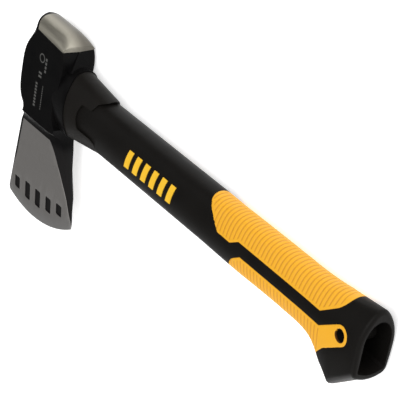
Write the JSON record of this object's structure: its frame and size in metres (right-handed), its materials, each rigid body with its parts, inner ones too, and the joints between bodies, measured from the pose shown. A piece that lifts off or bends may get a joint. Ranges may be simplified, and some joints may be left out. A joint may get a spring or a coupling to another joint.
{
  "type": "camping hatchet",
  "caption": "One-hand camping hatchet with a forged steel head, hammer poll, overmoulded handle, soft grip inlays and a flared butt with a lanyard hole.",
  "frame": {"origin": "bottom centre of the bounding box, with the hatchet lying on its side", "axes": "+X along the handle from the head to the butt, +Y towards the poll, +Z through the thickness, up"},
  "size_m": [0.3492, 0.1358, 0.0258],
  "materials": {
    "steel_head": "black paint with ground steel poll and blade flats",
    "epoxy": "cast epoxy",
    "black_plastic": "moulded",
    "fibre_core": "fibre composite",
    "collar_black": "satin moulded",
    "handle_black": "fine moulded texture",
    "grip_yellow": "ribbed soft rubber",
    "badge_yellow": "satin"
  },
  "bodies": {
    "root": {"axe_head": "steel_head", "eye_bond": "epoxy", "eye_cap": "black_plastic", "core_tube": "fibre_core", "core_end_plug": "black_plastic", "overstrike_collar": "collar_black", "handle_jacket": "handle_black", "grip_back_inlay": "grip_yellow", "grip_belly_inlay": "grip_yellow", "badge_left": "badge_yellow", "badge_right": "badge_yellow"}
  },
  "joints": []
}
